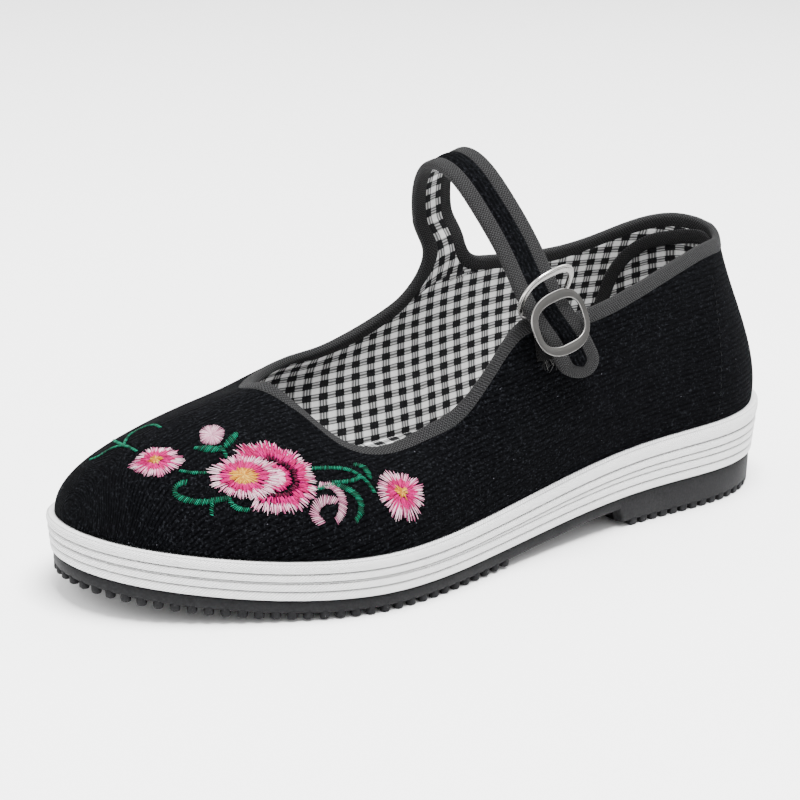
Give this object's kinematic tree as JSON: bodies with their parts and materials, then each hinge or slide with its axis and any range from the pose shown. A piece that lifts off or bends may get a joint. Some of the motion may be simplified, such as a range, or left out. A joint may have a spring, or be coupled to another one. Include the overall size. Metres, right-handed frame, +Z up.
{
  "type": "chinese cloth shoe",
  "caption": "Low flat cloth shoe for a left foot, open instep with a buckled strap, bound collar, layered pale midsole and studded rubber outsole",
  "frame": {"origin": "on the floor under the middle of the heel tread", "axes": "+X to the toe, +Y to the outer side of the left foot, +Z up"},
  "size_m": [0.2496, 0.0919, 0.1142],
  "materials": {
    "corduroy": "fine-wale cotton corduroy",
    "grey_tape": "woven cotton tape",
    "gingham": "checked cotton lining",
    "white_sole": "matte, fine twill texture",
    "dark_rubber": "matte moulded rubber",
    "dull_steel": "dull nickel face with bright edges"
  },
  "bodies": {
    "root": {"upper": "corduroy", "strap": "corduroy", "binding": "grey_tape", "buckle_outer_ring": "dull_steel", "buckle_inner_ring": "dull_steel", "buckle_keeper": "grey_tape", "insole": "gingham", "midsole": "white_sole", "outsole": "dark_rubber"}
  },
  "joints": []
}
